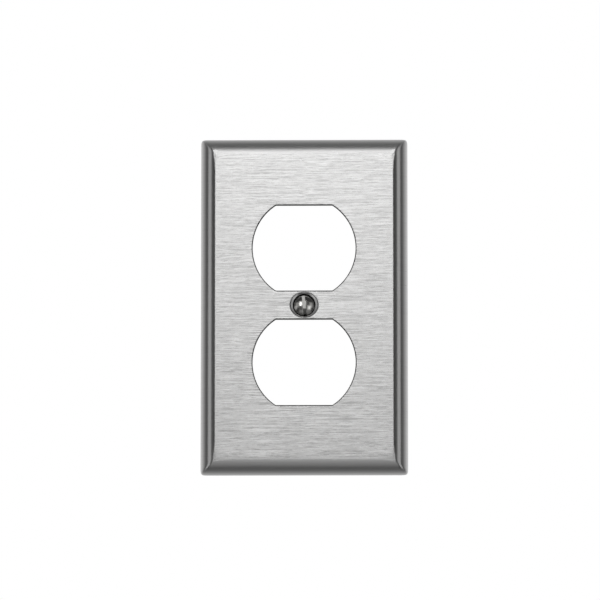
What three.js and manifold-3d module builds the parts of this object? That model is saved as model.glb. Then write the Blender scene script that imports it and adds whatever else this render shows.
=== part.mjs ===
// One-gang wall plate for a duplex receptacle, with its strap screw.
// Units are millimetres. The plate stands upright as it does on a wall: +X across it, +Z up it, and its face
// looks along -Y. The wall is the plane y = 0, and the screw's axis is the line x = 0, z = 0.

import * as THREE from 'three';
import { mergeVertices } from 'three/addons/utils/BufferGeometryUtils.js';
import Module from 'manifold-3d';

const wasm = await Module();
wasm.setup();

// Plate
const PLATE_WIDTH = 69.85;
const PLATE_HEIGHT = 114.3;
const PLATE_DEPTH = 5.6;
const SHEET = 0.8;
const CORNER_RADIUS = 1.3;
const CORNER_STEPS = 6;
// The rim is a quarter of an ellipse that rolls from the face to a short straight edge at the wall.
const RIM_WIDTH = 4.8;
const RIM_DROP = 4.9;
const RIM_STEPS = 9;

// Receptacle openings: circles cut off flat above and below
const OPENING_SPACING = 38.9;
const OPENING_DIAMETER = 34.7;
const OPENING_HEIGHT = 29;
const OPENING_STEPS = 20;

// Pressed dimple round the screw hole
const DIMPLE_RADIUS = 4.8;
const DIMPLE_LIP_RADIUS = 0.8;
const DIMPLE_LIP_STEPS = 4;
const DIMPLE_DEPTH = 2.7;
const SINK_HALF_ANGLE = THREE.MathUtils.degToRad(41);
const HOLE_RADIUS = 2.2;
const ROUND_STEPS = 48;

// Oval-head screw, #6-32 UNC x 1/2 in
const HEAD_RADIUS = 3.4;
const HEAD_EDGE_SINK = 0.75;
const HEAD_LAND = 0.12;
const CROWN_HEIGHT = 1.15;
const CROWN_STEPS = 7;
const SCREW_LENGTH = 12.7;
const THREAD_PITCH = 25.4 / 32;
const THREAD_MAJOR_RADIUS = 1.75;
const THREAD_MINOR_RADIUS = 1.3;
const NECK_RADIUS = 1.45;
const NECK_LENGTH = 0.5;
const NECK_RUN_OUT = THREAD_PITCH / 4;
const TIP_CHAMFER = 0.4;
const SLOT_WIDTH = 1;
const SLOT_DEPTH = 1.4;
const SLOT_TILT = THREE.MathUtils.degToRad(5.5);

// Cutting shapes reach this far past what they cut, and vertices closer than the gap are one vertex.
const CUT_MARGIN = 1;
const MERGE_GAP = 1e-4;

const FACE_Y = -PLATE_DEPTH;
const HEAD_EDGE_Y = FACE_Y + HEAD_EDGE_SINK;

const brushedSteel = new THREE.MeshStandardMaterial({ color: 0xb9b8b5, roughness: 0.34, metalness: 1 });
const polishedSteel = new THREE.MeshStandardMaterial({ color: 0x8f8e8b, roughness: 0.16, metalness: 1 });

function solidOf(geometry) {
  const bare = geometry.clone();
  bare.deleteAttribute('normal');
  bare.deleteAttribute('uv');
  const merged = mergeVertices(bare, MERGE_GAP);
  return new wasm.Manifold(new wasm.Mesh({
    numProp: 3,
    vertProperties: new Float32Array(merged.attributes.position.array),
    triVerts: new Uint32Array(merged.index.array),
  }));
}

function geometryOf(solid) {
  const mesh = solid.getMesh();
  const geometry = new THREE.BufferGeometry();
  geometry.setAttribute('position', new THREE.BufferAttribute(mesh.vertProperties, 3));
  geometry.setIndex(new THREE.BufferAttribute(mesh.triVerts, 1));
  geometry.computeVertexNormals();
  return geometry;
}

// Stands an extrusion up: its outline's Y becomes Z, and it is extruded from y = back towards the front.
function standUp(geometry, back) {
  return geometry.rotateX(Math.PI / 2).translate(0, back, 0);
}

// A profile of (radius, y) points turned round the screw's axis.
function turned(points) {
  const profile = points.map(([radius, y]) => new THREE.Vector2(radius, y));
  return solidOf(new THREE.LatheGeometry(profile, ROUND_STEPS));
}

function roundedOutline(halfWidth, halfHeight, radius) {
  const right = halfWidth - radius;
  const top = halfHeight - radius;
  const outline = new THREE.Shape();
  outline.absarc(right, top, radius, 0, Math.PI / 2);
  outline.absarc(-right, top, radius, Math.PI / 2, Math.PI);
  outline.absarc(-right, -top, radius, Math.PI, 1.5 * Math.PI);
  outline.absarc(right, -top, radius, 1.5 * Math.PI, 2 * Math.PI);
  return outline;
}

// A block whose front edges roll over by a quarter ellipse, and whose four upright corners are rounded.
// inset is how far it lies inside the plate's outer skin, on the sides and on the face.
function rolledBlock(inset, backY) {
  const halfWidth = PLATE_WIDTH / 2 - inset;
  const halfHeight = PLATE_HEIGHT / 2 - inset;
  const faceHalfWidth = PLATE_WIDTH / 2 - RIM_WIDTH;
  const faceHalfHeight = PLATE_HEIGHT / 2 - RIM_WIDTH;
  const drop = RIM_DROP - inset;
  const face = new THREE.Shape([
    new THREE.Vector2(faceHalfWidth, faceHalfHeight),
    new THREE.Vector2(-faceHalfWidth, faceHalfHeight),
    new THREE.Vector2(-faceHalfWidth, -faceHalfHeight),
    new THREE.Vector2(faceHalfWidth, -faceHalfHeight),
  ]);
  // The roll is made at both ends, so the block starts far enough back for the hind one to be cut off.
  const straight = PLATE_DEPTH - RIM_DROP + backY + drop;
  const block = new THREE.ExtrudeGeometry(face, {
    depth: straight,
    bevelSize: RIM_WIDTH - inset,
    bevelThickness: drop,
    bevelSegments: RIM_STEPS,
  });
  const corners = new THREE.ExtrudeGeometry(
    roundedOutline(halfWidth, halfHeight, CORNER_RADIUS - inset),
    { depth: PLATE_DEPTH + backY + CUT_MARGIN, curveSegments: CORNER_STEPS, bevelEnabled: false },
  );
  return solidOf(standUp(block, backY + drop)).intersect(solidOf(standUp(corners, backY)));
}

function openingCutter(centreZ) {
  const radius = OPENING_DIAMETER / 2;
  const flatAngle = Math.asin(OPENING_HEIGHT / 2 / radius);
  const outline = new THREE.Shape();
  outline.absarc(0, centreZ, radius, -flatAngle, flatAngle);
  outline.absarc(0, centreZ, radius, Math.PI - flatAngle, Math.PI + flatAngle);
  const cutter = new THREE.ExtrudeGeometry(outline, {
    depth: PLATE_DEPTH + CUT_MARGIN,
    curveSegments: OPENING_STEPS,
    bevelEnabled: false,
  });
  return solidOf(standUp(cutter, 0));
}

// The front surface of the dimple: a rounded lip that runs into the countersink's cone.
function dimpleFront() {
  const turn = Math.PI / 2 - SINK_HALF_ANGLE;
  const points = [];
  for (let step = 0; step <= DIMPLE_LIP_STEPS; step += 1) {
    const angle = turn * step / DIMPLE_LIP_STEPS;
    points.push([
      DIMPLE_RADIUS - DIMPLE_LIP_RADIUS * Math.sin(angle),
      FACE_Y + DIMPLE_LIP_RADIUS * (1 - Math.cos(angle)),
    ]);
  }
  const [lipRadius, lipY] = points[points.length - 1];
  points.push([HOLE_RADIUS, lipY + (lipRadius - HOLE_RADIUS) / Math.tan(SINK_HALF_ANGLE)]);
  return points;
}

function makeFaceplate() {
  const shell = rolledBlock(0, 0).subtract(rolledBlock(SHEET, CUT_MARGIN));
  const front = dimpleFront();
  const [lipRadius, lipY] = front[DIMPLE_LIP_STEPS];
  const bottomY = FACE_Y + DIMPLE_DEPTH;
  const backRadiusAt = (y) => lipRadius + SHEET / Math.cos(SINK_HALF_ANGLE)
    - (y - lipY) * Math.tan(SINK_HALF_ANGLE);
  const insideSheetY = FACE_Y + SHEET / 2;
  const boss = turned([
    [0, insideSheetY],
    [backRadiusAt(insideSheetY), insideSheetY],
    [backRadiusAt(bottomY), bottomY],
    [0, bottomY],
  ]);
  const sink = turned([
    [0, FACE_Y - CUT_MARGIN],
    [DIMPLE_RADIUS, FACE_Y - CUT_MARGIN],
    ...front,
    [HOLE_RADIUS, bottomY + CUT_MARGIN],
    [0, bottomY + CUT_MARGIN],
  ]);
  return shell
    .add(boss)
    .subtract(sink)
    .subtract(openingCutter(OPENING_SPACING / 2))
    .subtract(openingCutter(-OPENING_SPACING / 2));
}

// The oval crown is a cap of a sphere, from its top on the axis out to the head's edge.
function crown() {
  const sphere = (HEAD_RADIUS ** 2 + CROWN_HEIGHT ** 2) / (2 * CROWN_HEIGHT);
  const edgeAngle = Math.asin(HEAD_RADIUS / sphere);
  const topY = HEAD_EDGE_Y - CROWN_HEIGHT;
  const points = [];
  for (let step = 0; step <= CROWN_STEPS; step += 1) {
    const angle = edgeAngle * step / CROWN_STEPS;
    points.push([sphere * Math.sin(angle), topY + sphere * (1 - Math.cos(angle))]);
  }
  return points;
}

// The thread stands as rings of its true pitch and diameters.
function threadRings(startY, endY) {
  const points = [];
  for (let y = startY; y + THREAD_PITCH <= endY; y += THREAD_PITCH) {
    points.push([THREAD_MINOR_RADIUS, y]);
    points.push([THREAD_MAJOR_RADIUS, y + THREAD_PITCH / 2]);
  }
  return points;
}

function makeMountingScrew() {
  const coneY = HEAD_EDGE_Y + HEAD_LAND;
  const neckY = coneY + (HEAD_RADIUS - NECK_RADIUS) / Math.tan(SINK_HALF_ANGLE);
  const threadY = neckY + NECK_LENGTH;
  const tipY = HEAD_EDGE_Y + SCREW_LENGTH;
  const body = turned([
    ...crown(),
    [HEAD_RADIUS, coneY],
    [NECK_RADIUS, neckY],
    [NECK_RADIUS, threadY - NECK_RUN_OUT],
    ...threadRings(threadY, tipY - TIP_CHAMFER),
    [THREAD_MINOR_RADIUS, tipY - TIP_CHAMFER],
    [THREAD_MINOR_RADIUS - TIP_CHAMFER, tipY],
    [0, tipY],
  ]);
  const slotFloorY = HEAD_EDGE_Y - CROWN_HEIGHT + SLOT_DEPTH;
  const cutterDepth = SLOT_DEPTH + CUT_MARGIN;
  const cutterLength = 2 * HEAD_RADIUS + CUT_MARGIN;
  const slot = new THREE.BoxGeometry(SLOT_WIDTH, cutterDepth, cutterLength)
    .rotateY(-SLOT_TILT)
    .translate(0, slotFloorY - cutterDepth / 2, 0);
  return body.subtract(solidOf(slot));
}

function namedMesh(name, solid, material) {
  const mesh = new THREE.Mesh(geometryOf(solid), material);
  mesh.name = name;
  return mesh;
}

const wallPlate = new THREE.Group();
wallPlate.add(namedMesh('faceplate', makeFaceplate(), brushedSteel));
wallPlate.add(namedMesh('mounting_screw', makeMountingScrew(), polishedSteel));

export default wallPlate;
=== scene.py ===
import math

import bmesh
import bpy
from mathutils import Matrix, Vector
from mathutils.geometry import delaunay_2d_cdt


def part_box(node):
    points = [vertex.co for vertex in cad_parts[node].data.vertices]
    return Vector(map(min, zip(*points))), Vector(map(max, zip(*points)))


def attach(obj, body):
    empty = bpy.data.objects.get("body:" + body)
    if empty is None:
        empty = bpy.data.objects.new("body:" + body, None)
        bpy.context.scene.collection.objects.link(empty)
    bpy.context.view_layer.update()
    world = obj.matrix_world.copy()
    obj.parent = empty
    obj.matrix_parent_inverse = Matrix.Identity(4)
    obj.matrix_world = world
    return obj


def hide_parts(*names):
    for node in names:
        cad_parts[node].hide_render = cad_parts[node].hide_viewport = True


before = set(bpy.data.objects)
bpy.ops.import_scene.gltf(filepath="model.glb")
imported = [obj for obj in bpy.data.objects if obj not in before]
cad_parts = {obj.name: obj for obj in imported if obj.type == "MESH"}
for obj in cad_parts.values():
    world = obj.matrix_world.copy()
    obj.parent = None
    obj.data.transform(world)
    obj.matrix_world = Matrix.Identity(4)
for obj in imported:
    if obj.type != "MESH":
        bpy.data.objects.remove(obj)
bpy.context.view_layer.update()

# Everything below is in metres, in the frame of the part: +X across the plate, +Z up it, its face towards -Y.
MM = 0.001

PLATE_LOW, PLATE_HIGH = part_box("faceplate")
SCREW_LOW, SCREW_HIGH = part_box("mounting_screw")
FACE_Y = PLATE_LOW[1]
WALL_Y = PLATE_HIGH[1]
HALF_WIDTH = (PLATE_HIGH[0] - PLATE_LOW[0]) / 2
HALF_HEIGHT = (PLATE_HIGH[2] - PLATE_LOW[2]) / 2
CENTRE = Vector((0, (FACE_Y + WALL_Y) / 2, 0))

# The sheet, and its rim: most of a quarter ellipse that rolls back from a crease to a short straight edge at the
# wall. Towards the corners the crease lies further out and deeper.
SHEET = 0.8 * MM
RIM_WIDTH = 4.83 * MM
RIM_DROP = 4.9 * MM
RIM_CREASE = math.radians(7.5)
RIM_CORNER_CREASE = math.radians(14.5)
RIM_STEPS = 36
RIM_INNER_STEPS = 18
RIM_EDGE_ROUND = 0.12 * MM
EDGE_STEPS = 4
BURR_ROUND = 0.06 * MM
BURR_STEPS = 3
FACE_HALF_WIDTH = HALF_WIDTH - RIM_WIDTH
FACE_HALF_HEIGHT = HALF_HEIGHT - RIM_WIDTH

# The face dips a little as it comes to the crease, and beside the long sides it drops once more to round it.
DIP_WIDTH = 2.4 * MM
DIP_DROP_AT_SIDE = 0.008 * MM
DIP_DROP_AT_END = 0.05 * MM
DIP_STEPS = 8
CREASE_WIDTH = 0.32 * MM
CREASE_DROP_AT_SIDE = 0.014 * MM
CREASE_STEPS = 4
GRAIN_FADE = 1.3 * MM

# The corners are superellipses. Sections of the rim stand closer together over CORNER_REACH before each.
CORNER_REACH = 6.5 * MM
CORNER_POWER = 8.4
CORNER_STEPS = 56
STRAIGHT_STEPS = 12
STRAIGHT_CROWDING = 1.5

# Receptacle openings: circles cut off flat above and below, with a rolled-over punched edge
OPENING_SPACING = 38.9 * MM
OPENING_RADIUS = 17.35 * MM
OPENING_HALF_HEIGHT = 14.5 * MM
OPENING_CORNER_ROUND = 0.6 * MM
OPENING_SIDE_STEPS = 44
OPENING_CORNER_STEPS = 6
OPENING_FLAT_STEPS = 10
ROLLOVER_WIDTH = 0.42 * MM
ROLLOVER_DROP = 0.36 * MM
ROLLOVER_STEPS = 7
BRIGHT_ROLLOVER_STEPS = 2
FLAT_ROLLOVER_POWER = 0.4
FLATNESS_POWER = 6

# The dimple: the sheet draws in a little round it, then an oval crease leads down a curved wall to a round ledge
# and a well painted near black as shade.
DRAW_HALF_WIDTH = 5.7 * MM
DRAW_HALF_HEIGHT = 4.51 * MM
DRAW_DROP = 0.035 * MM
DRAW_STEPS = 6
DIMPLE_HALF_WIDTH = 4.96 * MM
DIMPLE_HALF_HEIGHT = 4.46 * MM
DIMPLE_WALL_STEPS = 26
DIMPLE_WALL_CROWDING = 1.5
DIMPLE_LEDGE_RADIUS = 3.84 * MM
DIMPLE_LEDGE_DEPTH = 0.455 * MM
DIMPLE_WELL_RADIUS = 3.74 * MM
DIMPLE_WELL_DEPTH = 1.6 * MM
DIMPLE_WELL_STEPS = 4
DIMPLE_SINK = 2.45 * MM
DIMPLE_DEPTH = 2.7 * MM
DIMPLE_BACK_HALF_WIDTH = 4.95 * MM
DIMPLE_BACK_HALF_HEIGHT = 4.7 * MM
DIMPLE_BACK_FILLET = 0.18 * MM
DIMPLE_BACK_FILLET_POINTS = [(1.6, 1.7), (0.7, 0.5)]
DIMPLE_BACK_ALONG = 0.5 * MM
DIMPLE_SEAT_RADIUS = 3.05 * MM
HOLE_RADIUS = 2.2 * MM
HOLE_EDGE_ROUND = 0.08 * MM
ROUND_STEPS = 96

# The dimple's wall: how far its crease is rounded, as a share of its width, and how much of its drop is a straight
# slope rather than a curve
DIMPLE_EDGE_ROUND = 0.06
DIMPLE_WALL_START = 0.47

# Points inside the flats of the face and the back
FLAT_GRID_STEP = 5 * MM
FLAT_GRID_CLEARANCE = 1.5 * MM

# The screw: an oval head over a countersink cone, a neck and a real helix of thread
HEAD_RADIUS = (SCREW_HIGH[0] - SCREW_LOW[0]) / 2
HEAD_EDGE_Y = FACE_Y + 0.75 * MM
HEAD_LAND = 0.12 * MM
HEAD_EDGE_ROUND = 0.06 * MM
CROWN_HEIGHT = 1.15 * MM
CROWN_STEPS = 22
CROWN_SPHERE = (HEAD_RADIUS ** 2 + CROWN_HEIGHT ** 2) / (2 * CROWN_HEIGHT)
CROWN_CENTRE_Y = HEAD_EDGE_Y - CROWN_HEIGHT + CROWN_SPHERE
SINK_HALF_ANGLE = math.radians(41)
SINK_STEPS = 8
NECK_RADIUS = 1.45 * MM
NECK_ROUND = 0.25 * MM
NECK_ROUND_STEPS = 4
NECK_ROUND_LENGTH = 1.6
NECK_LENGTH = 0.5 * MM
THREAD_PITCH = 25.4 * MM / 32
THREAD_MAJOR_RADIUS = 1.75 * MM
THREAD_MINOR_RADIUS = 1.3 * MM
THREAD_CREST = 0.16
THREAD_ROOT_POWER = 1.15
THREAD_STEPS_PER_TURN = 16
THREAD_RUN_OUT = 0.9 * MM
THREAD_TIP_RUN_OUT = 0.6 * THREAD_RUN_OUT
TIP_CHAMFER = 0.4 * MM
TIP_BEVEL = (0.08 * MM, 0.05 * MM)
TIP_Y = SCREW_HIGH[1]
SCREW_ROUND_STEPS = 96

# The slot: its floor is flat and then runs deeper towards the lower end, and its edges are broken.
SLOT_WIDTH = 1.0 * MM
SLOT_DEPTH = 1.4 * MM
SLOT_CHAMFER = 0.02 * MM
SLOT_FLARE_WIDTH = 4 * SLOT_CHAMFER
SLOT_FLARE_HEIGHT = 3 * SLOT_CHAMFER
SLOT_TILT = math.radians(5.5)
SLOT_STEPS = 40
SLOT_FLOOR_FLAT = 0.9 * MM
SLOT_FLOOR_CURVE = 6 * MM
BLADE_OVERSHOOT = 0.4 * MM
BLADE_TOP_Y = FACE_Y - 2 * MM

# Normals: how strongly the larger faces count, and the angle from which an edge of the screw is sharp
NORMAL_WEIGHT = 60
SHARP_ANGLE = math.radians(32)


# Mesh helpers

def add_loop(bm, layer, spots, rolled=0.0):
    """One vertex for each (x, y, z, u, v). layer keeps its place (u, v) in the flattened sheet, in millimetres,
    and rolled, which is 0 on the face and 1 on the rim."""
    loop = []
    for x, y, z, u, v in spots:
        vertex = bm.verts.new((x, y, z))
        vertex[layer] = (u / MM, v / MM, rolled)
        loop.append(vertex)
    return loop


def bridge(bm, first, second, material):
    """A closed band between two loops of the same length. Where one has a corner's vertices in one place, it
    makes triangles."""
    count = len(first)
    for i in range(count):
        j = (i + 1) % count
        corners = list(dict.fromkeys((first[i], first[j], second[j], second[i])))
        if len(corners) >= 3:
            bm.faces.new(corners).material_index = material


def bridge_all(bm, loops, material):
    for first, second in zip(loops, loops[1:]):
        bridge(bm, first, second, material)


def inside(x, z, outline):
    """Whether a point lies in an outline of (x, z) points."""
    hit = False
    for i, (x0, z0) in enumerate(outline):
        x1, z1 = outline[i - 1]
        if (z0 > z) != (z1 > z) and x < (x1 - x0) * (z - z0) / (z1 - z0) + x0:
            hit = not hit
    return hit


def on_sheet(x, z, outlines):
    """Whether a point lies in the first outline and in none of the others."""
    return inside(x, z, outlines[0]) and not any(inside(x, z, outline) for outline in outlines[1:])


def grid_points(outline, step):
    """A loose grid of (x, z) points over an outline's box, without the box's own edges."""
    low_x = min(x for x, _ in outline)
    high_x = max(x for x, _ in outline)
    low_z = min(z for _, z in outline)
    high_z = max(z for _, z in outline)
    columns = round((high_x - low_x) / step)
    rows = round((high_z - low_z) / step)
    for column in range(1, columns):
        for row in range(1, rows):
            yield low_x + (high_x - low_x) * column / columns, low_z + (high_z - low_z) * row / rows


def fill_flat(bm, layer, outer, holes, material):
    """Triangles between an outer loop and holes in one plane of constant Y, with a loose grid of points inside."""
    loops = [list(dict.fromkeys(outer)), *holes]
    outlines = [[(v.co.x, v.co.z) for v in loop] for loop in loops]
    at_edges = [v for loop in loops for v in loop]
    edges = []
    start = 0
    for loop in loops:
        count = len(loop)
        edges += [(start + i, start + (i + 1) % count) for i in range(count)]
        start += count

    y = at_edges[0].co.y
    vertices = list(at_edges)
    for x, z in grid_points(outlines[0], FLAT_GRID_STEP):
        nearest = min((v.co.x - x) ** 2 + (v.co.z - z) ** 2 for v in at_edges) ** 0.5
        if on_sheet(x, z, outlines) and nearest > FLAT_GRID_CLEARANCE:
            vertices += add_loop(bm, layer, [(x, y, z, x, z)])

    points = [Vector((v.co.x, v.co.z)) / MM for v in vertices]
    _, _, triangles, sources, _, _ = delaunay_2d_cdt(points, edges, [], 0, 1e-6)
    for triangle in triangles:
        corners = [vertices[sources[i][0]] for i in triangle]
        x = sum(v.co.x for v in corners) / 3
        z = sum(v.co.z for v in corners) / 3
        if on_sheet(x, z, outlines):
            bm.faces.new(corners).material_index = material


def finished_object(bm, name, materials, layer=None):
    """The mesh as an object with smooth normals, and layer as its UV map."""
    bmesh.ops.recalc_face_normals(bm, faces=bm.faces)
    if layer is not None:
        uv = bm.loops.layers.uv.new("grain")
        for face in bm.faces:
            for corner in face.loops:
                corner[uv].uv = corner.vert[layer].xy
    for face in bm.faces:
        face.smooth = True
    mesh = bpy.data.meshes.new(name)
    bm.to_mesh(mesh)
    bm.free()
    for material in materials:
        mesh.materials.append(material)
    piece = bpy.data.objects.new(name, mesh)
    bpy.context.scene.collection.objects.link(piece)
    return piece


def weigh_normals(piece):
    modifier = piece.modifiers.new("weighted_normals", "WEIGHTED_NORMAL")
    modifier.mode = "FACE_AREA_WITH_ANGLE"
    modifier.weight = NORMAL_WEIGHT
    modifier.keep_sharp = True


# The faceplate's loops

def corner_stations():
    """Where the rim's sections stand, from the end of a long side's straight part round the corner to the end of a
    short side's. Each is (distance before the corner along the long side, the same along the short side, across,
    up), where across and up give the section's direction."""
    distances = [
        CORNER_REACH * (1 - step / STRAIGHT_STEPS) ** STRAIGHT_CROWDING for step in range(STRAIGHT_STEPS)
    ]
    stations = [(distance, 0, 1, 0) for distance in distances]
    for step in range(CORNER_STEPS + 1):
        angle = math.pi / 2 * step / CORNER_STEPS
        across, up = math.cos(angle), math.sin(angle)
        size = (across ** CORNER_POWER + up ** CORNER_POWER) ** (1 / CORNER_POWER)
        stations.append((0, 0, across / size, up / size))
    stations += [(0, distance, 0, 1) for distance in reversed(distances)]
    return stations


# The sections of one corner serve all four. A quarter is (side, end, order of the sections), so that they make one
# ring.
STATIONS = corner_stations()
QUARTERS = [(1, 1, 1), (-1, 1, -1), (-1, -1, 1), (1, -1, -1)]


def corner_nearness(distance):
    """1 at a corner, and 0 where its effect on the crease ends."""
    return max(0.0, 1 - distance / CORNER_REACH) ** 2


def crease_angle(distance):
    """The angle of the rim's ellipse from which it is there, at a distance before a corner."""
    return RIM_CREASE + (RIM_CORNER_CREASE - RIM_CREASE) * corner_nearness(distance)


def dip_drop(up):
    """How far the face has dipped at the crease, where up is 0 beside a long side and 1 at a short one."""
    return DIP_DROP_AT_SIDE + (DIP_DROP_AT_END - DIP_DROP_AT_SIDE) * up ** 2


def crease_drop(up, distance):
    """How much further the face drops in the last stretch, which rounds the crease beside a long side. It does so
    less and less towards a corner."""
    return CREASE_DROP_AT_SIDE * (1 - up ** 2) * (1 - corner_nearness(distance))


def rim_point(angle, start, width, drop):
    """(outwards, backwards) of the rolled rim's section, from where it would meet a face without a dip. start is how
    far the face has dropped there."""
    sine, cosine = math.sin(RIM_CREASE), math.cos(RIM_CREASE)
    return Vector((
        width * (math.sin(angle) - sine) / (1 - sine),
        start + (drop - start) * (1 - math.cos(angle) / cosine),
    ))


def section_loop(bm, layer, section_at, rolled):
    """A loop round the rim. section_at gives (outwards, y, distance along the sheet) from the distance before the
    corner and from up."""
    spots = []
    for side, end, order in QUARTERS:
        for before_side, before_end, across, up in STATIONS[::order]:
            out, y, along = section_at(before_side + before_end, up)
            x = FACE_HALF_WIDTH - before_end
            z = FACE_HALF_HEIGHT - before_side
            spots.append((
                side * (x + out * across),
                y,
                end * (z + out * up),
                side * (x + along * across),
                end * (z + along * up),
            ))
    return add_loop(bm, layer, spots, rolled)


def rim_loop(bm, layer, share, width, drop, face_y):
    """A loop round the rim, at a share of the way along its section from the crease to the straight edge."""
    def section_at(distance, up):
        first = crease_angle(distance)
        angle = first + (math.pi / 2 - first) * share
        here = rim_point(angle, dip_drop(up) + crease_drop(up, distance), width, drop)
        return here.x, face_y + here.y, here.length

    return section_loop(bm, layer, section_at, 1.0)


def straight_loop(bm, layer, spread, y, along):
    """A loop round the rim's straight edge, spread outside the face's own edge."""
    return section_loop(bm, layer, lambda distance, up: (spread, y, along), 1.0)


def face_loop(bm, layer, inset, face_y, width, drop):
    """A loop of the face inside the crease, dipping as it nears it. Stations past a mitre share its vertex."""
    loop = []
    wide = (1 - inset / DIP_WIDTH) ** 2
    narrow = max(0.0, 1 - inset / CREASE_WIDTH) ** 2
    rolled = max(0.0, 1 - inset / GRAIN_FADE)
    for side, end, order in QUARTERS:
        mitre = []
        for before_side, before_end, _, up in STATIONS[::order]:
            distance = before_side + before_end
            at_mitre = distance < inset or distance == 0
            if at_mitre and mitre:
                loop.append(mitre[0])
                continue
            if at_mitre:
                distance, up = 0, math.sqrt(0.5)
            last_drop = crease_drop(up, distance)
            at_crease = rim_point(crease_angle(distance), dip_drop(up) + last_drop, width, drop).y
            y = face_y + ((at_crease - last_drop) * wide + last_drop * narrow)
            x = FACE_HALF_WIDTH - max(inset, before_end)
            z = FACE_HALF_HEIGHT - max(inset, before_side)
            made = add_loop(bm, layer, [(side * x, y, end * z, side * x, end * z)], rolled)
            if at_mitre:
                mitre = made
            loop += made
    return loop


def dip_insets():
    """How far inside the crease the face's loops lie, from the flat outwards: closer together near the crease."""
    wide = DIP_WIDTH - CREASE_WIDTH
    return (
        [CREASE_WIDTH + wide * (1 - step / DIP_STEPS) for step in range(DIP_STEPS)]
        + [CREASE_WIDTH * (1 - step / CREASE_STEPS) for step in range(CREASE_STEPS)]
    )


def opening_outline():
    """Points (x, z, normal x, normal z) of an opening's outline about its own centre, with outward normals."""
    corner_z = OPENING_HALF_HEIGHT - OPENING_CORNER_ROUND
    corner_x = math.sqrt((OPENING_RADIUS - OPENING_CORNER_ROUND) ** 2 - corner_z ** 2)
    corner_angle = math.atan2(corner_z, corner_x)
    quarter = []
    for step in range(OPENING_SIDE_STEPS):
        angle = corner_angle * step / OPENING_SIDE_STEPS
        quarter.append((OPENING_RADIUS * math.cos(angle), OPENING_RADIUS * math.sin(angle), angle))
    for step in range(OPENING_CORNER_STEPS):
        angle = corner_angle + (math.pi / 2 - corner_angle) * step / OPENING_CORNER_STEPS
        x = corner_x + OPENING_CORNER_ROUND * math.cos(angle)
        z = corner_z + OPENING_CORNER_ROUND * math.sin(angle)
        quarter.append((x, z, angle))
    for step in range(OPENING_FLAT_STEPS + 1):
        x = corner_x * (1 - step / OPENING_FLAT_STEPS)
        quarter.append((x, OPENING_HALF_HEIGHT, math.pi / 2))
    right_top = [(x, z, math.cos(angle), math.sin(angle)) for x, z, angle in quarter]
    left_top = [(-x, z, -nx, nz) for x, z, nx, nz in reversed(right_top[:-1])]
    upper = right_top + left_top
    lower = [(-x, -z, -nx, -nz) for x, z, nx, nz in upper[1:-1]]
    return upper + lower


def opening_loop(bm, layer, centre_z, offset, flat_offset, y, along):
    """A loop round an opening, offset into the sheet by one amount at its sides and another at its flats."""
    spots = []
    for x, z, normal_x, normal_z in opening_outline():
        wider = offset + (flat_offset - offset) * abs(normal_z) ** FLATNESS_POWER
        x += normal_x * wider
        z += normal_z * wider
        shift = -along - wider
        spots.append((x, y, centre_z + z, x + normal_x * shift, centre_z + z + normal_z * shift))
    return add_loop(bm, layer, spots)


def round_loop(bm, layer, radius_at, y, along=0.0, rolled=0.0):
    """A loop round the screw's axis. radius_at gives its radius at an angle."""
    spots = []
    for step in range(ROUND_STEPS):
        angle = math.tau * step / ROUND_STEPS
        radius = radius_at(angle)
        x, z = radius * math.cos(angle), radius * math.sin(angle)
        flat = radius - along
        spots.append((x, y, z, flat * math.cos(angle), flat * math.sin(angle)))
    return add_loop(bm, layer, spots, rolled)


def circle(radius):
    return lambda angle: radius


def oval(half_width, half_height):
    return lambda angle: 1 / math.hypot(math.cos(angle) / half_width, math.sin(angle) / half_height)


def mixed(first, second, share):
    """An outline at a share of the way from one to another."""
    return lambda angle: first(angle) * (1 - share) + second(angle) * share


def narrowed(outline, inwards):
    return lambda angle: outline(angle) - inwards


# The faceplate. These are its mesh's materials; the last is dull sheared steel painted near black as shade.
BRUSHED, MILL, SHEARED_AND_SHADE = 0, 1, 2


def rim_front(bm, layer):
    """The face's outer loop, the loop at the back of the rim's straight edge, and how far along the sheet that
    is."""
    along = RIM_WIDTH + RIM_DROP
    loops = [face_loop(bm, layer, inset, FACE_Y, RIM_WIDTH, RIM_DROP) for inset in dip_insets()]
    for step in range(RIM_STEPS + 1):
        loops.append(rim_loop(bm, layer, step / RIM_STEPS, RIM_WIDTH, RIM_DROP, FACE_Y))
    loops.append(straight_loop(bm, layer, RIM_WIDTH, WALL_Y - RIM_EDGE_ROUND, along))
    bridge_all(bm, loops, BRUSHED)
    return loops[0], loops[-1], along


def rim_back(bm, layer, edge, along):
    """From the straight edge round the sheet's cut end and up the inside, to the back face's outer loop."""
    inner_width, inner_drop, inner_y = RIM_WIDTH - SHEET, RIM_DROP - SHEET, FACE_Y + SHEET
    loops = [edge]
    for step in range(1, EDGE_STEPS + 1):
        angle = math.pi / 2 * step / EDGE_STEPS
        spread = RIM_WIDTH - RIM_EDGE_ROUND * (1 - math.cos(angle))
        y = WALL_Y - RIM_EDGE_ROUND * (1 - math.sin(angle))
        loops.append(straight_loop(bm, layer, spread, y, along + RIM_EDGE_ROUND * step / EDGE_STEPS))
    for step in range(EDGE_STEPS + 1):
        angle = math.pi / 2 * step / EDGE_STEPS
        spread = inner_width + BURR_ROUND * (1 - math.sin(angle))
        y = WALL_Y - BURR_ROUND * (1 - math.cos(angle))
        loops.append(straight_loop(bm, layer, spread, y, along + SHEET))
    for step in range(RIM_INNER_STEPS, -1, -1):
        loops.append(rim_loop(bm, layer, step / RIM_INNER_STEPS, inner_width, inner_drop, inner_y))
    for inset in reversed(dip_insets()):
        loops.append(face_loop(bm, layer, inset, inner_y, inner_width, inner_drop))
    bridge_all(bm, loops, MILL)
    return loops[-1]


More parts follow.
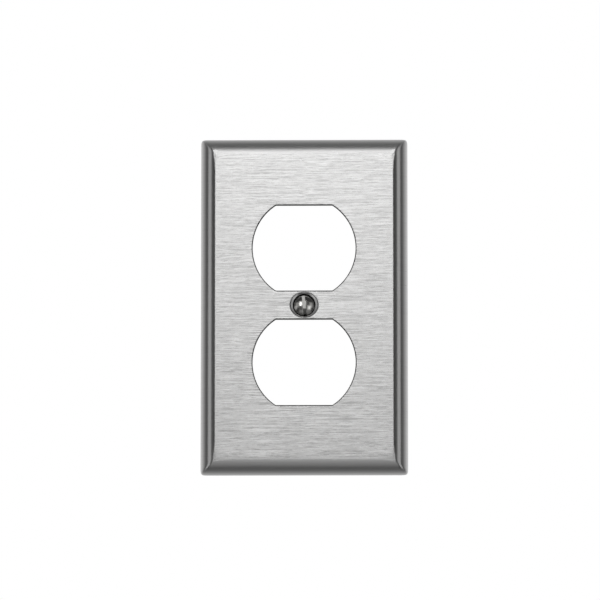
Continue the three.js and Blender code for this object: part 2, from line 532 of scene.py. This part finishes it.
def punched_profile():
    """(offset at the sides, offset at the flats, depth) of an opening's rolled-over edge, wall and back edge."""
    profile = []
    for step in range(ROLLOVER_STEPS + 1):
        angle = math.pi / 2 * step / ROLLOVER_STEPS
        share = 1 - math.sin(angle)
        profile.append((
            ROLLOVER_WIDTH * share,
            ROLLOVER_WIDTH * share ** FLAT_ROLLOVER_POWER,
            ROLLOVER_DROP * (1 - math.cos(angle)),
        ))
    for step in range(BURR_STEPS + 1):
        angle = math.pi / 2 * step / BURR_STEPS
        offset = BURR_ROUND * (1 - math.cos(angle))
        profile.append((offset, offset, SHEET - BURR_ROUND * (1 - math.sin(angle))))
    return profile


def punched_edge(bm, layer, centre_z):
    """The edge of one opening, through the sheet. Returns its front and back loops."""
    along = -ROLLOVER_WIDTH
    before = Vector((ROLLOVER_WIDTH, 0))
    loops = []
    for offset, flat_offset, depth in punched_profile():
        here = Vector((offset, depth))
        along += (here - before).length
        before = here
        loops.append(opening_loop(bm, layer, centre_z, offset, flat_offset, FACE_Y + depth, along))
    bridge_all(bm, loops[:BRIGHT_ROLLOVER_STEPS + 1], BRUSHED)
    # Past the bright roll-over the punched wall is dull sheared steel painted near black as shade
    bridge_all(bm, loops[BRIGHT_ROLLOVER_STEPS:], SHEARED_AND_SHADE)
    return loops[0], loops[-1]


def dimple_wall_depth(share):
    """Depth at a share of the way from the dimple's crease to its ledge: steeper and steeper."""
    start = math.hypot(share, DIMPLE_EDGE_ROUND) - DIMPLE_EDGE_ROUND
    bend = DIMPLE_WALL_START * start + (1 - DIMPLE_WALL_START) * share ** 2
    return DRAW_DROP + (DIMPLE_LEDGE_DEPTH - DRAW_DROP) * bend


def dimple_well():
    """(outline, depth) of the rings from the dimple's ledge down to the hole."""
    hole = HOLE_RADIUS + HOLE_EDGE_ROUND
    corners = [
        (DIMPLE_LEDGE_RADIUS, dimple_wall_depth(1)),
        (DIMPLE_WELL_RADIUS, DIMPLE_WELL_DEPTH),
        (hole, DIMPLE_SINK),
    ]
    rings = []
    for (upper, upper_depth), (lower, lower_depth) in zip(corners, corners[1:]):
        for step in range(DIMPLE_WELL_STEPS):
            share = step / DIMPLE_WELL_STEPS
            depth = upper_depth + (lower_depth - upper_depth) * share
            rings.append((circle(upper + (lower - upper) * share), depth))
    rings.append((circle(hole), DIMPLE_SINK))
    return rings


def dimple_front(bm, layer):
    """The dimple's front, as loops from the face's flat down to the hole."""
    outside = oval(DRAW_HALF_WIDTH, DRAW_HALF_HEIGHT)
    crease = oval(DIMPLE_HALF_WIDTH, DIMPLE_HALF_HEIGHT)
    ledge = circle(DIMPLE_LEDGE_RADIUS)
    rings = []
    for step in range(DRAW_STEPS):
        share = step / DRAW_STEPS
        rings.append((mixed(outside, crease, share), DRAW_DROP * share ** 2))
    for step in range(DIMPLE_WALL_STEPS):
        share = (step / DIMPLE_WALL_STEPS) ** DIMPLE_WALL_CROWDING
        rings.append((mixed(crease, ledge, share), dimple_wall_depth(share)))
    rings += dimple_well()
    loops = []
    for index, (radius_at, depth) in enumerate(rings):
        rolled = 0.0 if index < DRAW_STEPS else 1.0
        loops.append(round_loop(bm, layer, radius_at, FACE_Y + depth, rolled=rolled))
    bright = DRAW_STEPS + DIMPLE_WALL_STEPS
    bridge_all(bm, loops[:bright + 1], BRUSHED)
    # The well below the ledge is painted near black as shade, with the sheared material
    bridge_all(bm, loops[bright:], SHEARED_AND_SHADE)
    return loops


def dimple_back(bm, layer, hole):
    """From the hole's front edge through it and round the seat, to the loop in the back's flat."""
    seat_y = FACE_Y + DIMPLE_DEPTH
    back = oval(DIMPLE_BACK_HALF_WIDTH, DIMPLE_BACK_HALF_HEIGHT)
    back_y = FACE_Y + SHEET
    profile = [
        (circle(HOLE_RADIUS), FACE_Y + DIMPLE_SINK + HOLE_EDGE_ROUND),
        (circle(HOLE_RADIUS), seat_y - HOLE_EDGE_ROUND),
        (circle(HOLE_RADIUS + HOLE_EDGE_ROUND), seat_y),
        (circle(DIMPLE_SEAT_RADIUS - HOLE_EDGE_ROUND), seat_y),
        (circle(DIMPLE_SEAT_RADIUS), seat_y - HOLE_EDGE_ROUND),
        (mixed(circle(DIMPLE_SEAT_RADIUS), back, 0.5), (seat_y + back_y) / 2),
    ]
    for inwards, backwards in DIMPLE_BACK_FILLET_POINTS:
        profile.append((narrowed(back, inwards * DIMPLE_BACK_FILLET), back_y + backwards * DIMPLE_BACK_FILLET))
    profile.append((back, back_y))
    loops = [hole]
    for index, (radius_at, y) in enumerate(profile):
        loops.append(round_loop(bm, layer, radius_at, y, DIMPLE_BACK_ALONG * index))
    bridge_all(bm, loops, MILL)
    return loops[-1]


def make_faceplate(brushed, mill, sheared_and_shade):
    bm = bmesh.new()
    layer = bm.verts.layers.float_vector.new("flattened")
    front_outer, edge, along = rim_front(bm, layer)
    back_outer = rim_back(bm, layer, edge, along)
    holes = [punched_edge(bm, layer, side * OPENING_SPACING / 2) for side in (1, -1)]
    sink = dimple_front(bm, layer)
    holes.append((sink[0], dimple_back(bm, layer, sink[-1])))
    fill_flat(bm, layer, front_outer, [front for front, _ in holes], BRUSHED)
    fill_flat(bm, layer, back_outer, [back for _, back in holes], MILL)
    piece = finished_object(bm, "faceplate_sheet", [brushed, mill, sheared_and_shade], layer)
    weigh_normals(piece)
    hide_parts("faceplate")
    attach(piece, "faceplate")
    return piece


# The screw

def crown_y(radius):
    """Y of the oval crown's surface at a distance from the axis."""
    return CROWN_CENTRE_Y - math.sqrt(CROWN_SPHERE ** 2 - radius ** 2)


def smooth_step(value):
    value = min(1.0, max(0.0, value))
    return value * value * (3 - 2 * value)


def thread_radius(angle, y, start_y, end_y):
    """A 60 degree thread with a narrow flat crest and a rounded root, fading out at both ends."""
    phase = ((y - start_y) / THREAD_PITCH - angle / math.tau) % 1.0
    flank = abs(2 * phase - 1)
    height = min(1.0, (1 - flank) / (1 - THREAD_CREST)) ** THREAD_ROOT_POWER
    fade = smooth_step((y - start_y) / THREAD_RUN_OUT) * smooth_step((end_y - y) / THREAD_TIP_RUN_OUT)
    low = NECK_RADIUS + (THREAD_MINOR_RADIUS - NECK_RADIUS) * fade
    return low + (THREAD_MAJOR_RADIUS - THREAD_MINOR_RADIUS) * height * fade


def head_profile():
    """(outline, y) from the crown's top over the head's rounded edge to the foot of its cone."""
    edge = HEAD_EDGE_ROUND
    profile = []
    for step in range(1, CROWN_STEPS + 1):
        radius = (HEAD_RADIUS - edge) * step / CROWN_STEPS
        profile.append((circle(radius), crown_y(radius)))
    rim_y = crown_y(HEAD_RADIUS - edge) + edge
    cone_y = HEAD_EDGE_Y + HEAD_LAND
    inside_edge = HEAD_RADIUS - 0.25 * edge
    profile += [
        (circle(inside_edge), rim_y - 0.6 * edge),
        (circle(HEAD_RADIUS), rim_y),
        (circle(HEAD_RADIUS), cone_y - 0.3 * edge),
        (circle(inside_edge), cone_y + 0.2 * edge),
    ]
    cone_end = NECK_RADIUS + NECK_ROUND
    for step in range(1, SINK_STEPS + 1):
        radius = HEAD_RADIUS + (cone_end - HEAD_RADIUS) * step / SINK_STEPS
        profile.append((circle(radius), cone_y + (HEAD_RADIUS - radius) / math.tan(SINK_HALF_ANGLE)))
    return profile


def shank_profile(cone_end_y):
    """(outline, y) from the foot of the head's cone down the neck and the thread to the tip."""
    cone_end = NECK_RADIUS + NECK_ROUND
    profile = []
    for step in range(1, NECK_ROUND_STEPS + 1):
        bend = step / NECK_ROUND_STEPS
        radius = cone_end - NECK_ROUND * (1 - (1 - bend) ** 2)
        profile.append((circle(radius), cone_end_y + NECK_ROUND_LENGTH * NECK_ROUND * bend))
    thread_y = profile[-1][1] + NECK_LENGTH - NECK_ROUND
    thread_end_y = TIP_Y - TIP_CHAMFER
    thread_steps = round((thread_end_y - thread_y) / THREAD_PITCH * THREAD_STEPS_PER_TURN)
    for step in range(thread_steps + 1):
        y = thread_y + (thread_end_y - thread_y) * step / thread_steps
        profile.append((lambda angle, y=y: thread_radius(angle, y, thread_y, thread_end_y), y))
    tip_radius = NECK_RADIUS - TIP_CHAMFER
    bevel_width, bevel_length = TIP_BEVEL
    profile.append((circle(tip_radius), TIP_Y - bevel_length))
    profile.append((circle(tip_radius - bevel_width), TIP_Y))
    return profile


def turned_solid():
    """The whole screw as one closed mesh, before its slot is cut."""
    head = head_profile()
    bm = bmesh.new()
    top = bm.verts.new((0, crown_y(0), 0))
    loops = []
    for radius_at, y in head + shank_profile(head[-1][1]):
        loop = []
        for step in range(SCREW_ROUND_STEPS):
            angle = math.tau * step / SCREW_ROUND_STEPS
            radius = radius_at(angle)
            loop.append(bm.verts.new((radius * math.cos(angle), y, radius * math.sin(angle))))
        loops.append(loop)
    tip = bm.verts.new((0, TIP_Y, 0))
    for step in range(SCREW_ROUND_STEPS):
        after = (step + 1) % SCREW_ROUND_STEPS
        bm.faces.new((top, loops[0][step], loops[0][after]))
        bm.faces.new((tip, loops[-1][after], loops[-1][step]))
    bridge_all(bm, loops, 0)
    return bm


def slot_cutter():
    """A blade along the slot, whose sides flare just below the crown so that the slot's edges are broken."""
    floor_y = HEAD_EDGE_Y - CROWN_HEIGHT + SLOT_DEPTH
    half = SLOT_WIDTH / 2
    flared = half + SLOT_FLARE_WIDTH
    reach = HEAD_RADIUS + BLADE_OVERSHOOT
    bm = bmesh.new()
    loops = []
    for step in range(SLOT_STEPS + 1):
        along = -reach + 2 * reach * step / SLOT_STEPS
        edge_y = crown_y(min(math.hypot(along, half), HEAD_RADIUS))
        deeper = max(0, -along - SLOT_FLOOR_FLAT) ** 2 / (2 * SLOT_FLOOR_CURVE)
        right = [
            (half, floor_y + deeper),
            (half, edge_y + SLOT_CHAMFER),
            (half + SLOT_CHAMFER, edge_y),
            (flared, edge_y - SLOT_FLARE_HEIGHT),
            (flared, BLADE_TOP_Y),
        ]
        outline = right + [(-x, y) for x, y in reversed(right)]
        loops.append([bm.verts.new((x, y, along)) for x, y in outline])
    bridge_all(bm, loops, 0)
    bm.faces.new(loops[0])
    bm.faces.new(loops[-1])
    return bm


def make_screw(polished):
    piece = finished_object(turned_solid(), "slotted_oval_head_screw", [polished])
    blade = finished_object(slot_cutter(), "slot_blade", [])
    blade.data.transform(Matrix.Rotation(-SLOT_TILT, 4, "Y"))
    cut = piece.modifiers.new("slot", "BOOLEAN")
    cut.operation = "DIFFERENCE"
    cut.solver = "EXACT"
    cut.object = blade
    evaluated = piece.evaluated_get(bpy.context.evaluated_depsgraph_get())
    mesh = bpy.data.meshes.new_from_object(evaluated)
    piece.modifiers.clear()
    piece.data = mesh
    bpy.data.objects.remove(blade)
    mesh.set_sharp_from_angle(angle=SHARP_ANGLE)
    weigh_normals(piece)
    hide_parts("mounting_screw")
    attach(piece, "mounting_screw")
    return piece


# Materials

# A quarter turn lays the highlight across the brushing.
ANISOTROPIC_TURN = 0.25


def grey(level):
    return (level, level, level, 1)


class Nodes:
    """Builds a node tree with short calls."""

    def __init__(self, tree):
        self.tree = tree
        tree.nodes.clear()

    def add(self, kind, inputs=None, **settings):
        made = self.tree.nodes.new(kind)
        for key, value in settings.items():
            setattr(made, key, value)
        for key, value in (inputs or {}).items():
            if isinstance(value, bpy.types.NodeSocket):
                self.tree.links.new(value, made.inputs[key])
            else:
                made.inputs[key].default_value = value
        return made

    def maths(self, operation, first, second=0.0, clamp=False):
        inputs = {0: first, 1: second}
        return self.add("ShaderNodeMath", inputs, operation=operation, use_clamp=clamp).outputs[0]

    def sum_of(self, first, first_weight, second, second_weight):
        """Two values, each times its weight, added up."""
        return self.maths(
            "ADD", self.maths("MULTIPLY", first, first_weight), self.maths("MULTIPLY", second, second_weight),
        )

    def over(self, value, threshold, factor):
        """By how much value is over a threshold, times factor, kept between 0 and 1."""
        return self.maths("MULTIPLY", self.maths("SUBTRACT", value, threshold), factor, clamp=True)

    def millimetres(self):
        """The place on the object, in millimetres."""
        place = self.add("ShaderNodeTexCoord").outputs["Object"]
        return self.add("ShaderNodeVectorMath", {0: place, "Scale": 1 / MM}, operation="SCALE").outputs[0]

    def mapped(self, place, scale, shift=(0.0, 0.0, 0.0)):
        inputs = {"Vector": place, "Scale": scale, "Location": shift}
        return self.add("ShaderNodeMapping", inputs).outputs[0]

    def noise(self, place, scale, detail, roughness=0.5):
        inputs = {"Vector": place, "Scale": scale, "Detail": detail, "Roughness": roughness}
        return self.add("ShaderNodeTexNoise", inputs).outputs["Fac"]

    def grain(self, place, along, across, shift):
        """Noise drawn out along the brushing. along and across are features per millimetre."""
        return self.noise(self.mapped(place, (along, across, 1), shift), 1.0, 1.0)

    def spread(self, value, low, high):
        """value, from 0 to 1, as a number from low to high."""
        return self.add(
            "ShaderNodeMapRange",
            {"Value": value, "From Min": 0.0, "From Max": 1.0, "To Min": low, "To Max": high},
        ).outputs[0]

    def grey_ramp(self, value, stops):
        """value looked up in a ramp of (place, level) stops."""
        ramp = self.add("ShaderNodeValToRGB", {"Fac": value})
        elements = ramp.color_ramp.elements
        while len(elements) < len(stops):
            elements.new(0.5)
        for element, (place, level) in zip(elements, stops):
            element.position = place
            element.color = grey(level)
        return ramp.outputs[0]

    def blend(self, share, first, second):
        """The colour at a share of the way from first to second."""
        inputs = {0: share, 6: first, 7: second}
        return self.add("ShaderNodeMix", inputs, data_type="RGBA").outputs[2]

    def metal(self, colour, roughness, height, bump, anisotropy=0.0, tangent=None, edge_tint=1.0):
        """Principled metal. bump is how high in metres the height pattern stands, and edge_tint how much a surface
        seen almost along itself still reflects."""
        relief = {"Strength": 1.0, "Distance": bump, "Height": height}
        inputs = {
            "Base Color": colour,
            "Metallic": 1.0,
            "Roughness": roughness,
            "Normal": self.add("ShaderNodeBump", relief).outputs[0],
            "Anisotropic": anisotropy,
            "Anisotropic Rotation": ANISOTROPIC_TURN,
            "Specular Tint": grey(edge_tint),
        }
        if tangent is not None:
            inputs["Tangent"] = tangent
        shader = self.add("ShaderNodeBsdfPrincipled", inputs)
        self.add("ShaderNodeOutputMaterial", {"Surface": shader.outputs[0]})


def new_material(name):
    material = bpy.data.materials.new(name)
    material.use_nodes = True
    return material, Nodes(material.node_tree)


# The brushing's lines: (features per mm along them, the same across, shift of the noise, weight)
LINE_LAYERS = [
    (0.04, 5.2, 3.0, 3.3),
    (0.1, 6.0, 11.0, 3.5),
    (0.25, 6.8, 23.0, 2.9),
    (0.6, 7.6, 37.0, 1.8),
]
LINES_LEFT_ON_RIM = 0.07
LINES_IN_RELIEF = 0.5

# Soft bands in its relief, and its dark scratches, which are where a noise passes a threshold
BANDS = (0.02, 0.5, (1.0, 9.0, 8.0))
BANDS_IN_RELIEF = 0.6
SCRATCHES = (0.06, 3.2, (5.0, 2.0, 15.0))
SCRATCH_THRESHOLD = 0.64
SCRATCH_CONTRAST = 6.0
SCRATCH_WEIGHT = 0.5

BRUSHED_COLOURS = ((0.47, 0.4685, 0.466, 1), (0.86, 0.858, 0.855, 1))
BRUSHED_ROUGHNESS = (0.24, 0.30)
BRUSHED_RIM_ROUGHNESS = 0.012
BRUSHED_RELIEF = 0.003 * MM
BRUSHED_ANISOTROPY = 0.8

MILL_COLOURS = ((0.45, 0.445, 0.44, 1), (0.62, 0.615, 0.605, 1))
MILL_ROUGHNESS = (0.24, 0.46)
MILL_RELIEF = 0.008 * MM

# Near black: painted shade on the punched walls and in the dimple's well, over dull sheared steel
SHEARED_AND_SHADE_COLOURS = ((0.08, 0.079, 0.078, 1), (0.18, 0.179, 0.177, 1))
SHEARED_CONTRAST = (-0.5, 1.5)
SHEARED_ROUGHNESS = (0.35, 0.6)
SHEARED_RELIEF = 0.01 * MM
SHEARED_EDGE_TINT = 0.25

SCREW_COLOURS = ((0.36, 0.355, 0.345, 1), (0.50, 0.495, 0.48, 1))
SCREW_ROUGHNESS = (0.12, 0.24)
SCREW_RELIEF = 0.004 * MM

# Painted shade: what lies under the crown is painted darker, and the slot's lower end darker still. Depth and start
# are in millimetres.
SUNK_SHADE_DEPTH = 0.12
SUNK_SHADE_CONTRAST = 4.0
SUNK_SHADE_COLOUR = (0.12, 0.119, 0.117, 1)
SUNK_SHADE_SHARE = 0.15
SLOT_SHADE_START = 0.9
SLOT_SHADE_CONTRAST = 4.0
SLOT_SHADE_COLOUR = (0.05, 0.05, 0.049, 1)
SLOT_SHADE_SHARE = 0.85


def brushed_stainless():
    """Stainless sheet brushed across the plate: fine lines, soft bands in its relief and a few dark scratches, all
    fainter on the rim."""
    material, nodes = new_material("brushed_stainless")
    place = nodes.add("ShaderNodeUVMap", uv_map="grain").outputs[0]
    flattened = nodes.add("ShaderNodeAttribute", attribute_name="flattened").outputs[1]
    rolled = nodes.add("ShaderNodeSeparateXYZ", {0: flattened}).outputs[2]
    lines = 0.0
    for along, across, shift, weight in LINE_LAYERS:
        field = nodes.grain(place, along, across, (shift, shift, shift))
        layer = nodes.maths("MULTIPLY", nodes.maths("SUBTRACT", field, 0.5), weight)
        lines = nodes.maths("ADD", lines, layer)
    bands = nodes.grain(place, *BANDS)
    scratches = nodes.over(nodes.grain(place, *SCRATCHES), SCRATCH_THRESHOLD, SCRATCH_CONTRAST)
    tone = nodes.maths("SUBTRACT", lines, nodes.maths("MULTIPLY", scratches, SCRATCH_WEIGHT))
    fade = nodes.maths("SUBTRACT", 1.0, nodes.maths("MULTIPLY", rolled, 1 - LINES_LEFT_ON_RIM))
    tone = nodes.maths("ADD", nodes.maths("MULTIPLY", tone, fade), 0.5, clamp=True)
    relief = nodes.sum_of(lines, LINES_IN_RELIEF, bands, BANDS_IN_RELIEF)
    height = nodes.maths("MULTIPLY", relief, nodes.maths("SUBTRACT", 1.0, rolled))
    on_rim = nodes.maths("POWER", rolled, 4.0)
    roughness = nodes.sum_of(nodes.spread(tone, *BRUSHED_ROUGHNESS), 1.0, on_rim, BRUSHED_RIM_ROUGHNESS)
    tangent = nodes.add("ShaderNodeTangent", direction_type="UV_MAP", uv_map="grain").outputs[0]
    colour = nodes.blend(tone, *BRUSHED_COLOURS)
    nodes.metal(colour, roughness, height, BRUSHED_RELIEF, BRUSHED_ANISOTROPY, tangent)
    return material


def mill_steel():
    """The unbrushed back and the cut ends: rolled sheet with a dull, slightly mottled finish."""
    material, nodes = new_material("mill_finish_steel")
    place = nodes.millimetres()
    mottle = nodes.noise(nodes.mapped(place, (0.12, 0.12, 1)), 1.0, 4.0, 0.6)
    lines = nodes.noise(nodes.mapped(place, (0.05, 1.0, 3.0)), 1.0, 3.0)
    pits = nodes.noise(place, 6.0, 2.0)
    colour = nodes.blend(mottle, *MILL_COLOURS)
    roughness = nodes.spread(nodes.sum_of(mottle, 1.0, pits, 0.3), *MILL_ROUGHNESS)
    nodes.metal(colour, roughness, nodes.sum_of(lines, 0.6, pits, 0.4), MILL_RELIEF)
    return material


def sheared_edge_and_painted_shade():
    """The punched wall of the openings and the dimple's well: dull sheared steel with fine tool marks through the
    sheet, painted near black as shade.
    """
    material, nodes = new_material("sheared_edge_and_painted_shade")
    marks = nodes.noise(nodes.mapped(nodes.millimetres(), (4.0, 0.6, 4.0)), 1.0, 3.0)
    colour = nodes.blend(nodes.spread(marks, *SHEARED_CONTRAST), *SHEARED_AND_SHADE_COLOURS)
    roughness = nodes.spread(marks, *SHEARED_ROUGHNESS)
    nodes.metal(colour, roughness, marks, SHEARED_RELIEF, edge_tint=SHEARED_EDGE_TINT)
    return material


def polished_screw():
    """Bright machined steel with faint turning rings on the head, with painted shade below the crown that is darker
    still in the slot's lower end."""
    material, nodes = new_material("polished_screw")
    place = nodes.millimetres()
    x, y, z = nodes.add("ShaderNodeSeparateXYZ", {0: place}).outputs
    squares = nodes.maths("ADD", nodes.maths("MULTIPLY", x, x), nodes.maths("MULTIPLY", z, z))
    radial = nodes.add("ShaderNodeCombineXYZ", {0: nodes.maths("SQRT", squares), 1: y, 2: 0.0}).outputs[0]
    rings = nodes.noise(radial, 9.0, 3.0)
    blotches = nodes.noise(place, 0.9, 3.0)
    nicks = nodes.noise(place, 5.0, 2.0)

    # Painted shade: darker where the surface lies deeper than the crown, in the slot and below the head
    centre = (0, CROWN_CENTRE_Y / MM, 0)
    from_centre = nodes.add("ShaderNodeVectorMath", {0: place, 1: centre}, operation="DISTANCE").outputs[1]
    under = nodes.maths("SUBTRACT", CROWN_SPHERE / MM - SUNK_SHADE_DEPTH, from_centre)
    sunk_shade_mask = nodes.maths("MULTIPLY", under, SUNK_SHADE_CONTRAST, clamp=True)
    # Painted shade, darker still, towards the slot's lower end
    low_end = nodes.over(nodes.maths("MULTIPLY", z, -1.0), SLOT_SHADE_START, SLOT_SHADE_CONTRAST)
    slot_shade = nodes.maths("MULTIPLY", nodes.maths("MULTIPLY", low_end, sunk_shade_mask), SLOT_SHADE_SHARE)

    colour = nodes.blend(blotches, *SCREW_COLOURS)
    colour = nodes.blend(nodes.maths("MULTIPLY", sunk_shade_mask, SUNK_SHADE_SHARE), colour, SUNK_SHADE_COLOUR)
    colour = nodes.blend(slot_shade, colour, SLOT_SHADE_COLOUR)
    roughness = nodes.spread(nodes.sum_of(rings, 0.5, blotches, 0.5), *SCREW_ROUGHNESS)
    nodes.metal(colour, roughness, nodes.sum_of(rings, 0.5, nicks, 0.5), SCREW_RELIEF)
    return material


# The studio. Sizes and distances are in metres, azimuths and elevations in degrees. A lamp's radiance is the
# brightness of its surface.
ORIGIN = Vector((0, 0, 0))

# The front strip hangs before the plate and gets dimmer downwards: (z, radiance).
STRIP_X = -0.0065
STRIP_DISTANCE = 0.45
STRIP_WIDTH = 0.2
STRIP_LEVELS = [
    (-0.62, 0.18),
    (-0.5, 0.2),
    (-0.34, 0.22),
    (-0.2, 0.28),
    (-0.1, 0.38),
    (0.0, 0.6),
    (0.07, 0.975),
    (0.14, 1.54),
    (0.35, 1.96),
]
STRIP_RADIANCE = 2.0

# Lamps aimed at the screw: (name, azimuth, elevation, distance, width, height, radiance). The panels and the plate's
# fills stand on both sides. The screw's are its highlight, a soft spot in two parts, a low fill, a crescent and a
# broad fill.
SIDE_PANELS = [("side_panel", 50, 8.5, 0.9, 0.36, 0.5, 0.48)]
PLATE_FILLS = [
    ("corner_fill", 48, 45, 0.9, 0.6, 0.5, 0.11),
    ("corner_fill", 48, -35, 0.9, 0.6, 0.5, 0.07),
    ("slant_fill", 43, -27, 1.2, 0.62, 0.5, 0.72),
    ("edge_fill", 115, 8.5, 0.9, 0.9, 1.2, 0.07),
]
SCREW_LAMPS = [
    ("screw_lamp", -25, 16, 0.6, 0.15, 0.27, 4.0),
    ("screw_lamp", 36, -10, 0.6, 0.18, 0.2, 1.5),
    ("screw_lamp", 36, -10, 0.6, 0.32, 0.34, 0.5),
    ("screw_lamp", 5, -43, 0.6, 0.95, 0.26, 0.24),
    ("screw_lamp", -60, -8, 0.6, 0.17, 0.2, 0.6),
    ("screw_lamp", 0, 0, 0.6, 1.0, 1.0, 0.1),
]

# The floor and the light over it
FLOOR_Z = -0.6
FLOOR_REACH = 4.0
FLOOR_GREY = 0.85
FLOOR_LIGHT_Z = 2.5
FLOOR_LIGHT_SIZE = (6, 6)
FLOOR_LIGHT_RADIANCE = 1.5

# The camera stands a little below the plate and looks up at it through a long lens. Its frame is as wide as this at
# the plate.
CAMERA_AZIMUTH = 0.9
CAMERA_ELEVATION = -8.5
CAMERA_DISTANCE = 2.1
CAMERA_AIM = CENTRE + Vector((-1.42, 0, 2.1)) * MM
FRAME_WIDTH = 0.2023

# The room as reflections see it, from straight in front of the plate (0) to straight behind it (1)
ROOM_LEVELS = [
    (0.0, 0.04),
    (0.25, 0.06),
    (0.43, 0.14),
    (0.53, 0.24),
    (0.64, 0.38),
    (0.75, 0.53),
    (0.87, 0.67),
    (1.0, 0.8),
]


def direction(azimuth, elevation):
    """Unit vector from the plate, azimuth 0 towards -Y and 90 towards +X."""
    a, e = math.radians(azimuth), math.radians(elevation)
    return Vector((math.sin(a) * math.cos(e), -math.cos(a) * math.cos(e), math.sin(e)))


def grade(data, levels):
    """Makes a lamp's brightness vary over its height. levels are (share of it from the bottom, brightness)."""
    data.use_nodes = True
    nodes = Nodes(data.node_tree)
    over = nodes.add("ShaderNodeNewGeometry").outputs["Parametric"]
    height = nodes.add("ShaderNodeSeparateXYZ", {0: over}).outputs[1]
    emission = nodes.add("ShaderNodeEmission", {"Strength": nodes.grey_ramp(height, levels)})
    nodes.add("ShaderNodeOutputLight", {"Surface": emission.outputs[0]})


def softbox(name, centre, aim, size, radiance, only=None):
    """A rectangular area light that the camera doesn't see. only is the collection it lights, if not everything."""
    data = bpy.data.lights.new(name, "AREA")
    data.shape = "RECTANGLE"
    data.size, data.size_y = size
    data.energy = radiance * math.pi * size[0] * size[1]
    lamp = bpy.data.objects.new(name, data)
    lamp.location = centre
    lamp.rotation_euler = (aim - centre).to_track_quat("-Z", "Y").to_euler()
    lamp.visible_camera = False
    bpy.context.scene.collection.objects.link(lamp)
    if only is not None:
        lamp.light_linking.receiver_collection = only
    return lamp


def softboxes(rows, only=None):
    """A lamp for each row of a table, aimed at the screw."""
    for name, azimuth, elevation, distance, width, height, radiance in rows:
        centre = direction(azimuth, elevation) * distance
        softbox(name, centre, ORIGIN, (width, height), radiance, only)


def both_sides(rows):
    """The rows of a table of lamps on the left, and again on the right."""
    return [(name, side * azimuth, *rest) for side in (-1, 1) for name, azimuth, *rest in rows]


def receivers(name, piece):
    """A collection that lets a lamp light only one piece."""
    collection = bpy.data.collections.new(name)
    collection.objects.link(piece)
    return collection


def make_lights(plate, screw, floor):
    """The front strip and two grey side panels light everything. Small lamps give the screw's head its highlights,
    fills lift the plate's rim and its look from the side, and one light is for the floor alone."""
    low, high = STRIP_LEVELS[0][0], STRIP_LEVELS[-1][0]
    centre = Vector((STRIP_X, -STRIP_DISTANCE, (low + high) / 2))
    aim = Vector((centre.x, 0, centre.z))
    strip = softbox("front_strip", centre, aim, (STRIP_WIDTH, high - low), STRIP_RADIANCE)
    grade(strip.data, [((z - low) / (high - low), level / STRIP_RADIANCE) for z, level in STRIP_LEVELS])
    softboxes(both_sides(SIDE_PANELS))
    over_floor = Vector((0, 0, FLOOR_LIGHT_Z))
    floor_only = receivers("floor_only", floor)
    softbox("floor_light", over_floor, ORIGIN, FLOOR_LIGHT_SIZE, FLOOR_LIGHT_RADIANCE, floor_only)
    softboxes(SCREW_LAMPS, receivers("screw_only", screw))
    softboxes(both_sides(PLATE_FILLS), receivers("plate_only", plate))


def make_world():
    """A white backdrop behind the plate that fades to a dark room in front of it, a little darker below, and plain
    white to the camera."""
    world = bpy.data.worlds.new("studio")
    bpy.context.scene.world = world
    world.use_nodes = True
    nodes = Nodes(world.node_tree)
    toward = nodes.add("ShaderNodeTexCoord").outputs["Generated"]
    _, y, z = nodes.add("ShaderNodeSeparateXYZ", {0: toward}).outputs
    below = nodes.maths("MAXIMUM", nodes.maths("MULTIPLY", z, -1.0), 0.0)
    weight = nodes.maths("MULTIPLY", nodes.maths("ADD", y, 0.5), 0.18)
    behind = nodes.maths("SUBTRACT", y, nodes.maths("MULTIPLY", below, weight))
    share = nodes.maths("ADD", nodes.maths("MULTIPLY", behind, 0.5), 0.5)
    room = nodes.add("ShaderNodeBackground", {"Color": nodes.grey_ramp(share, ROOM_LEVELS), "Strength": 1.0})
    white = nodes.add("ShaderNodeBackground", {"Color": grey(1), "Strength": 1.0})
    seen = nodes.add("ShaderNodeLightPath").outputs["Is Camera Ray"]
    mix = nodes.add("ShaderNodeMixShader", {0: seen, 1: room.outputs[0], 2: white.outputs[0]})
    nodes.add("ShaderNodeOutputWorld", {"Surface": mix.outputs[0]})


def make_floor():
    """A wide pale floor, far enough down to stay below a camera that looks up at the plate."""
    bm = bmesh.new()
    bmesh.ops.create_grid(bm, x_segments=2, y_segments=2, size=FLOOR_REACH)
    material, nodes = new_material("pale_floor")
    shader = nodes.add("ShaderNodeBsdfPrincipled", {"Base Color": grey(FLOOR_GREY), "Roughness": 0.8})
    nodes.add("ShaderNodeOutputMaterial", {"Surface": shader.outputs[0]})
    floor = finished_object(bm, "floor", [material])
    floor.location = (0, 0, FLOOR_Z)
    floor.visible_glossy = False
    return floor


def make_camera():
    data = bpy.data.cameras.new("camera")
    data.sensor_width = 36
    data.lens = data.sensor_width * CAMERA_DISTANCE / FRAME_WIDTH
    data.clip_start, data.clip_end = 0.1, 20
    camera = bpy.data.objects.new("camera", data)
    camera.location = CAMERA_AIM + direction(CAMERA_AZIMUTH, CAMERA_ELEVATION) * CAMERA_DISTANCE
    camera.rotation_euler = (CAMERA_AIM - camera.location).to_track_quat("-Z", "Y").to_euler()
    bpy.context.scene.collection.objects.link(camera)
    bpy.context.scene.camera = camera


make_camera()
plate = make_faceplate(brushed_stainless(), mill_steel(), sheared_edge_and_painted_shade())
screw = make_screw(polished_screw())
floor = make_floor()
make_world()
make_lights(plate, screw, floor)
bpy.context.scene.view_settings.view_transform = "Standard"
